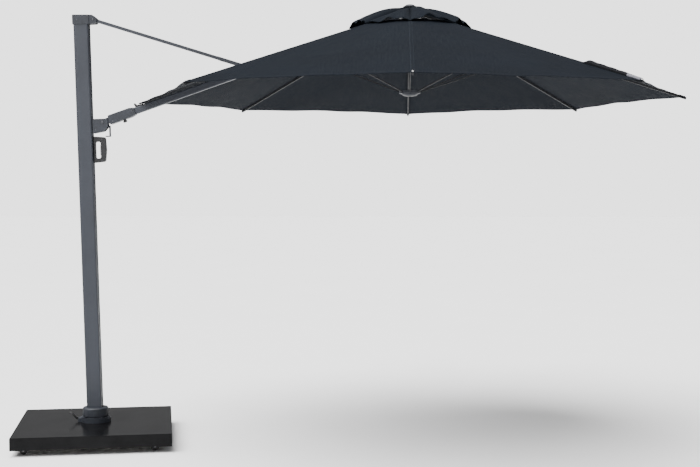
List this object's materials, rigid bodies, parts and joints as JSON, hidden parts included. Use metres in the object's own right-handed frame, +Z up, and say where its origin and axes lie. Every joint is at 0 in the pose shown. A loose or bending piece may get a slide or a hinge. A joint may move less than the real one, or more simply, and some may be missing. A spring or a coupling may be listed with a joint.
{
  "type": "cantilever patio umbrella",
  "caption": "Cantilever patio umbrella: an octagonal vented canopy hung from a hinged boom and stay on a raked mast that turns on a square wheeled ballast base.",
  "frame": {"origin": "on the floor, at the middle of the whole object's length and width: under the boom, between the base and the canopy", "axes": "+X along the boom from the mast to the canopy, +Z up, +Y away from the side the handle is worked from"},
  "size_m": [4.367, 3.5, 2.8076],
  "materials": {
    "gloss_black": "gloss",
    "slate_paint": "powder coated, satin",
    "frame_steel": "satin",
    "stone": "rough",
    "caster_steel": "satin",
    "rubber": "matte",
    "dark_plastic": "fine grain",
    "black_plastic": "fine grain",
    "steel": "brushed",
    "canopy_cloth": "woven, matte"
  },
  "bodies": {
    "base": {"base_cover": "gloss_black", "base_frame": "frame_steel", "ballast_slab_1": "stone", "ballast_slab_2": "stone", "ballast_slab_3": "stone", "ballast_slab_4": "stone", "foot_flange": "dark_plastic", "thrust_ring": "steel"},
    "caster_1": {"caster_fork_1": "caster_steel"},
    "wheel_1": {"caster_wheel_1": "rubber"},
    "caster_2": {"caster_fork_2": "caster_steel"},
    "wheel_2": {"caster_wheel_2": "rubber"},
    "caster_3": {"caster_fork_3": "caster_steel"},
    "wheel_3": {"caster_wheel_3": "rubber"},
    "caster_4": {"caster_fork_4": "caster_steel"},
    "wheel_4": {"caster_wheel_4": "rubber"},
    "pedal": {"foot_pedal": "black_plastic"},
    "mast": {"rotary_collar": "dark_plastic", "mast_tube": "slate_paint", "mast_cap": "dark_plastic", "stay_pin": "steel", "lock_rail": "steel"},
    "stay": {"stay_tube": "slate_paint", "stay_fork": "slate_paint"},
    "boom_carrier": {"boom_housing": "dark_plastic", "boom_collar": "slate_paint"},
    "boom": {"boom_tube": "slate_paint", "boom_bush": "black_plastic", "corner_hook": "black_plastic", "gore_4": "canopy_cloth"},
    "knob": {"lock_knob": "black_plastic"},
    "carriage": {"carriage_bracket": "dark_plastic", "boom_pin": "steel", "handle_loop": "black_plastic"},
    "trigger": {"trigger": "steel"},
    "release_rod": {"release_rod": "dark_plastic"},
    "hub": {"hub": "dark_plastic", "finial": "dark_plastic"},
    "rib_0": {"rib_0": "slate_paint", "gore_0": "canopy_cloth"},
    "strut_0": {"strut_0": "slate_paint"},
    "rib_1": {"rib_1": "slate_paint", "gore_1": "canopy_cloth"},
    "strut_1": {"strut_1": "slate_paint"},
    "rib_2": {"rib_2": "slate_paint", "gore_2": "canopy_cloth"},
    "strut_2": {"strut_2": "slate_paint"},
    "rib_3": {"rib_3": "slate_paint", "gore_3": "canopy_cloth"},
    "strut_3": {"strut_3": "slate_paint"},
    "rib_5": {"rib_5": "slate_paint", "gore_5": "canopy_cloth"},
    "strut_5": {"strut_5": "slate_paint"},
    "rib_6": {"rib_6": "slate_paint", "gore_6": "canopy_cloth"},
    "strut_6": {"strut_6": "slate_paint"},
    "rib_7": {"rib_7": "slate_paint", "gore_7": "canopy_cloth"},
    "strut_7": {"strut_7": "slate_paint"},
    "runner": {"runner": "dark_plastic"}
  },
  "joints": [
    {"name": "caster_swivel_1", "type": "hinge", "parent": "base", "child": "caster_1", "pos_m": [-1.92558, -0.46897, 0.05], "axis": [0, 0, 1], "continuous": true},
    {"name": "wheel_roll_1", "type": "hinge", "parent": "caster_1", "child": "wheel_1", "pos_m": [-1.94129, -0.47203, 0.024], "axis": [-0.1908, 0.9816, 0], "continuous": true},
    {"name": "caster_swivel_2", "type": "hinge", "parent": "base", "child": "caster_2", "pos_m": [-1.14028, -0.31633, 0.05], "axis": [0, 0, 1], "continuous": true},
    {"name": "wheel_roll_2", "type": "hinge", "parent": "caster_2", "child": "wheel_2", "pos_m": [-1.15599, -0.31938, 0.024], "axis": [-0.1908, 0.9816, 0], "continuous": true},
    {"name": "caster_swivel_3", "type": "hinge", "parent": "base", "child": "caster_3", "pos_m": [-1.29293, 0.46897, 0.05], "axis": [0, 0, 1], "continuous": true},
    {"name": "wheel_roll_3", "type": "hinge", "parent": "caster_3", "child": "wheel_3", "pos_m": [-1.30863, 0.46592, 0.024], "axis": [-0.1908, 0.9816, 0], "continuous": true},
    {"name": "caster_swivel_4", "type": "hinge", "parent": "base", "child": "caster_4", "pos_m": [-2.07823, 0.31633, 0.05], "axis": [0, 0, 1], "continuous": true},
    {"name": "wheel_roll_4", "type": "hinge", "parent": "caster_4", "child": "wheel_4", "pos_m": [-2.09393, 0.31327, 0.024], "axis": [-0.1908, 0.9816, 0], "continuous": true},
    {"name": "pedal_press", "type": "hinge", "parent": "base", "child": "pedal", "pos_m": [-1.72725, 0, 0.138], "axis": [0, -1, 0], "range_deg": [0, 12], "stiffness_Nm_per_rad": 6},
    {"name": "mast_turn", "type": "hinge", "parent": "base", "child": "mast", "pos_m": [-1.60925, 0, 0.118], "axis": [0, 0, 1], "continuous": true},
    {"name": "stay_swing", "type": "hinge", "parent": "mast", "child": "stay", "pos_m": [-1.60025, 0, 2.71922], "axis": [0, 1, 0], "range_deg": [0, 65.74], "deforming": ["gore_0", "gore_1", "gore_2", "gore_3", "gore_4", "gore_5", "gore_6", "gore_7"]},
    {"name": "boom_fold", "type": "hinge", "parent": "stay", "child": "boom_carrier", "pos_m": [-0.56995, 0, 2.40029], "axis": [0, 1, 0], "range_deg": [-134.48, 0]},
    {"name": "boom_roll", "type": "hinge", "parent": "boom_carrier", "child": "boom", "pos_m": [-1.54426, 0, 2.061], "axis": [0.9444, 0, 0.3289], "range_deg": [-15, 15]},
    {"name": "knob_turn", "type": "hinge", "parent": "boom_carrier", "child": "knob", "pos_m": [-1.40407, 0, 2.07805], "axis": [0.3289, 0, -0.9444], "range_deg": [0, 90]},
    {"name": "carriage_hinge", "type": "hinge", "parent": "boom_carrier", "child": "carriage", "pos_m": [-1.54426, 0, 2.061], "axis": [0, 1, 0], "range_deg": [0, 68.74]},
    {"name": "trigger_pull", "type": "slide", "parent": "carriage", "child": "trigger", "axis": [0.9996, 0, 0.0273], "range_m": [0, 0.006], "stiffness_N_per_m": 400},
    {"name": "rod_slide", "type": "slide", "parent": "carriage", "child": "release_rod", "axis": [0.0273, 0, -0.9996], "range_m": [0, 0.0051]},
    {"name": "hub_pivot", "type": "hinge", "parent": "boom", "child": "hub", "pos_m": [0.37375, 0, 2.72892], "axis": [0, 1, 0], "range_deg": [0, 68.74]},
    {"name": "rib_fold_0", "type": "hinge", "parent": "hub", "child": "rib_0", "pos_m": [0.49375, 0, 2.72892], "axis": [0, 1, 0], "range_deg": [0, 69.31]},
    {"name": "strut_fold_0", "type": "hinge", "parent": "rib_0", "child": "strut_0", "pos_m": [1.24635, 0, 2.48873], "axis": [0, 1, 0], "range_deg": [-138.62, 0]},
    {"name": "rib_fold_1", "type": "hinge", "parent": "hub", "child": "rib_1", "pos_m": [0.47617, 0.04243, 2.72892], "axis": [-0.7071, 0.7071, 0], "range_deg": [0, 69.31]},
    {"name": "strut_fold_1", "type": "hinge", "parent": "rib_1", "child": "strut_1", "pos_m": [1.00834, 0.5746, 2.48873], "axis": [-0.7071, 0.7071, 0], "range_deg": [-138.62, 0]},
    {"name": "rib_fold_2", "type": "hinge", "parent": "hub", "child": "rib_2", "pos_m": [0.43375, 0.06, 2.72892], "axis": [-1, 0, 0], "range_deg": [0, 69.31]},
    {"name": "strut_fold_2", "type": "hinge", "parent": "rib_2", "child": "strut_2", "pos_m": [0.43375, 0.8126, 2.48873], "axis": [-1, 0, 0], "range_deg": [-138.62, 0]},
    {"name": "rib_fold_3", "type": "hinge", "parent": "hub", "child": "rib_3", "pos_m": [0.39132, 0.04243, 2.72892], "axis": [-0.7071, -0.7071, 0], "range_deg": [0, 69.31]},
    {"name": "strut_fold_3", "type": "hinge", "parent": "rib_3", "child": "strut_3", "pos_m": [-0.14085, 0.5746, 2.48873], "axis": [-0.7071, -0.7071, 0], "range_deg": [-138.62, 0]},
    {"name": "rib_fold_5", "type": "hinge", "parent": "hub", "child": "rib_5", "pos_m": [0.39132, -0.04243, 2.72892], "axis": [0.7071, -0.7071, 0], "range_deg": [0, 69.31]},
    {"name": "strut_fold_5", "type": "hinge", "parent": "rib_5", "child": "strut_5", "pos_m": [-0.14085, -0.5746, 2.48873], "axis": [0.7071, -0.7071, 0], "range_deg": [-138.62, 0]},
    {"name": "rib_fold_6", "type": "hinge", "parent": "hub", "child": "rib_6", "pos_m": [0.43375, -0.06, 2.72892], "axis": [1, 0, 0], "range_deg": [0, 69.31]},
    {"name": "strut_fold_6", "type": "hinge", "parent": "rib_6", "child": "strut_6", "pos_m": [0.43375, -0.8126, 2.48873], "axis": [1, 0, 0], "range_deg": [-138.62, 0]},
    {"name": "rib_fold_7", "type": "hinge", "parent": "hub", "child": "rib_7", "pos_m": [0.47617, -0.04243, 2.72892], "axis": [0.7071, 0.7071, 0], "range_deg": [0, 69.31]},
    {"name": "strut_fold_7", "type": "hinge", "parent": "rib_7", "child": "strut_7", "pos_m": [1.00834, -0.5746, 2.48873], "axis": [0.7071, 0.7071, 0], "range_deg": [-138.62, 0]},
    {"name": "runner_hang", "type": "hinge", "parent": "strut_2", "child": "runner", "pos_m": [0.43375, 0.06, 2.24855], "axis": [-1, 0, 0], "range_deg": [0, 69.31]}
  ],
  "couplings": [
    {"joint": "boom_fold", "follows": "stay_swing", "ratio": -2.0456},
    {"joint": "carriage_hinge", "follows": "stay_swing", "ratio": 1.0456},
    {"joint": "rod_slide", "follows": "trigger_pull", "ratio": 0.83333},
    {"joint": "hub_pivot", "follows": "stay_swing", "ratio": 1.0456},
    {"joint": "rib_fold_0", "follows": "stay_swing", "ratio": 1.0542},
    {"joint": "strut_fold_0", "follows": "stay_swing", "ratio": -2.1084},
    {"joint": "rib_fold_1", "follows": "stay_swing", "ratio": 1.0542},
    {"joint": "strut_fold_1", "follows": "stay_swing", "ratio": -2.1084},
    {"joint": "rib_fold_2", "follows": "stay_swing", "ratio": 1.0542},
    {"joint": "strut_fold_2", "follows": "stay_swing", "ratio": -2.1084},
    {"joint": "rib_fold_3", "follows": "stay_swing", "ratio": 1.0542},
    {"joint": "strut_fold_3", "follows": "stay_swing", "ratio": -2.1084},
    {"joint": "rib_fold_5", "follows": "stay_swing", "ratio": 1.0542},
    {"joint": "strut_fold_5", "follows": "stay_swing", "ratio": -2.1084},
    {"joint": "rib_fold_6", "follows": "stay_swing", "ratio": 1.0542},
    {"joint": "strut_fold_6", "follows": "stay_swing", "ratio": -2.1084},
    {"joint": "rib_fold_7", "follows": "stay_swing", "ratio": 1.0542},
    {"joint": "strut_fold_7", "follows": "stay_swing", "ratio": -2.1084},
    {"joint": "runner_hang", "follows": "stay_swing", "ratio": 1.0542}
  ]
}
